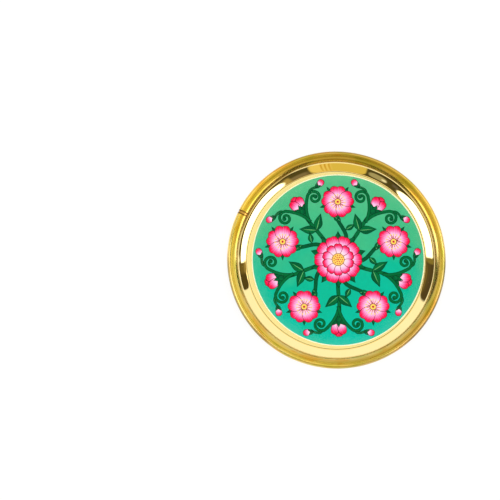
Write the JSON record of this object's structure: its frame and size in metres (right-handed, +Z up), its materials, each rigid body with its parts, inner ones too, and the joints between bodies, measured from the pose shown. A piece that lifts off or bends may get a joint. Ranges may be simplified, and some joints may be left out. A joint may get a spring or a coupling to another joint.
{
  "type": "decorative plate",
  "caption": "Shallow round brass plate with a tubular rim crimped on its flange, and a round floral print under a clear coat on its floor.",
  "frame": {"origin": "middle of the underside, on the face that the plate rests on", "axes": "+Z up out of the well, +Y towards the top of the picture, +X to the picture's right"},
  "size_m": [0.203, 0.203, 0.0099],
  "materials": {
    "polished_brass": "polished, with fine spinning marks",
    "rim_brass": "polished, with faint heat tint along the bead",
    "joint_brass": "bright, slightly duller than the rim",
    "printed_film": "printed film with a white cut edge",
    "clear_coat": "clear, glossy, with a rounded edge"
  },
  "bodies": {
    "root": {"plate_pan": "polished_brass", "rim_ring": "rim_brass", "rim_joint_ferrule": "joint_brass", "printed_film": "printed_film", "clear_coat": "clear_coat"}
  },
  "joints": []
}
